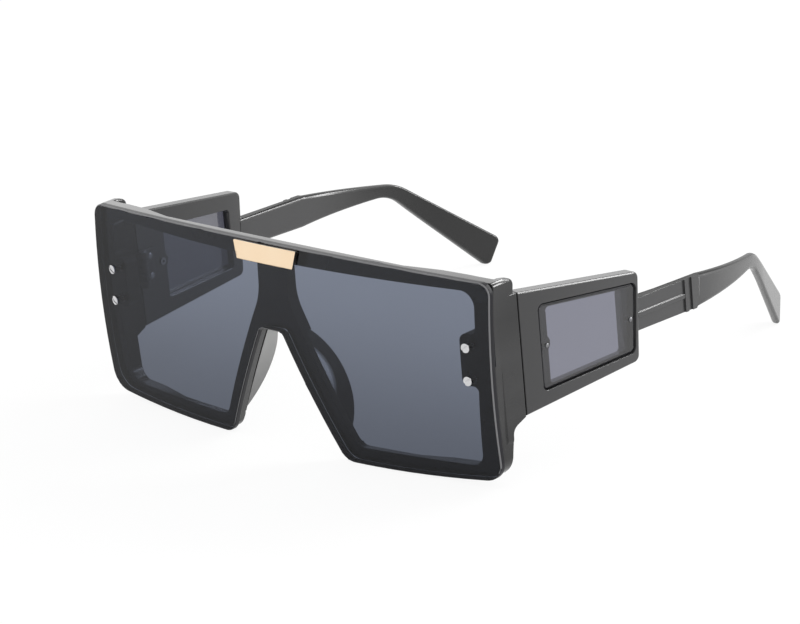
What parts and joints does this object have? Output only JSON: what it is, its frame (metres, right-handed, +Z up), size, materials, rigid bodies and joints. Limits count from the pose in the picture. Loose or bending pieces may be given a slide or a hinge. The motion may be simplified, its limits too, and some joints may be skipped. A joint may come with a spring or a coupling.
{
  "type": "shield sunglasses",
  "caption": "Oversized flat-top shield sunglasses with one tinted lens over a black frame, a gold brow plate and wide windowed temples that fold on screw hinges.",
  "frame": {"origin": "on the table under the middle of the open sunglasses: midway between the sides, and between the lens's front and the ear tips", "axes": "+X towards the wearer's left, +Y back along the temples, +Z up from the table"},
  "size_m": [0.1562, 0.1524, 0.0595],
  "materials": {
    "black_plastic": "polished moulding",
    "lens_tint": "tinted, hard coated",
    "side_tint": "tinted, hard coated",
    "gold_trim": "champagne gold plate",
    "bright_steel": "bright nickel plate",
    "hinge_steel": "blackened"
  },
  "bodies": {
    "front": {"shield_lens": "lens_tint", "front_frame": "black_plastic", "brow_plate": "gold_trim", "lens_screw_left_upper": "bright_steel", "lens_nut_left_upper": "bright_steel", "lens_screw_left_lower": "bright_steel", "lens_nut_left_lower": "bright_steel", "hinge_front_leaf_left": "hinge_steel", "hinge_front_rivets_left": "bright_steel", "hinge_screw_left": "bright_steel", "lens_screw_right_upper": "bright_steel", "lens_nut_right_upper": "bright_steel", "lens_screw_right_lower": "bright_steel", "lens_nut_right_lower": "bright_steel", "hinge_front_leaf_right": "hinge_steel", "hinge_front_rivets_right": "bright_steel", "hinge_screw_right": "bright_steel"},
    "temple_left": {"temple_left": "black_plastic", "side_lens_left": "side_tint", "hinge_temple_leaf_left": "hinge_steel", "hinge_temple_rivets_left": "bright_steel", "side_rivet_left_front": "bright_steel", "side_rivet_left_rear": "bright_steel"},
    "temple_right": {"temple_right": "black_plastic", "side_lens_right": "side_tint", "hinge_temple_leaf_right": "hinge_steel", "hinge_temple_rivets_right": "bright_steel", "side_rivet_right_front": "bright_steel", "side_rivet_right_rear": "bright_steel"}
  },
  "joints": [
    {"name": "left_temple_fold", "type": "hinge", "parent": "front", "child": "temple_left", "pos_m": [0.06916, -0.05734, 0.0353], "axis": [0, 0, 1], "range_deg": [0, 84]},
    {"name": "right_temple_fold", "type": "hinge", "parent": "front", "child": "temple_right", "pos_m": [-0.06916, -0.05734, 0.0353], "axis": [0, 0, -1], "range_deg": [0, 75]}
  ]
}
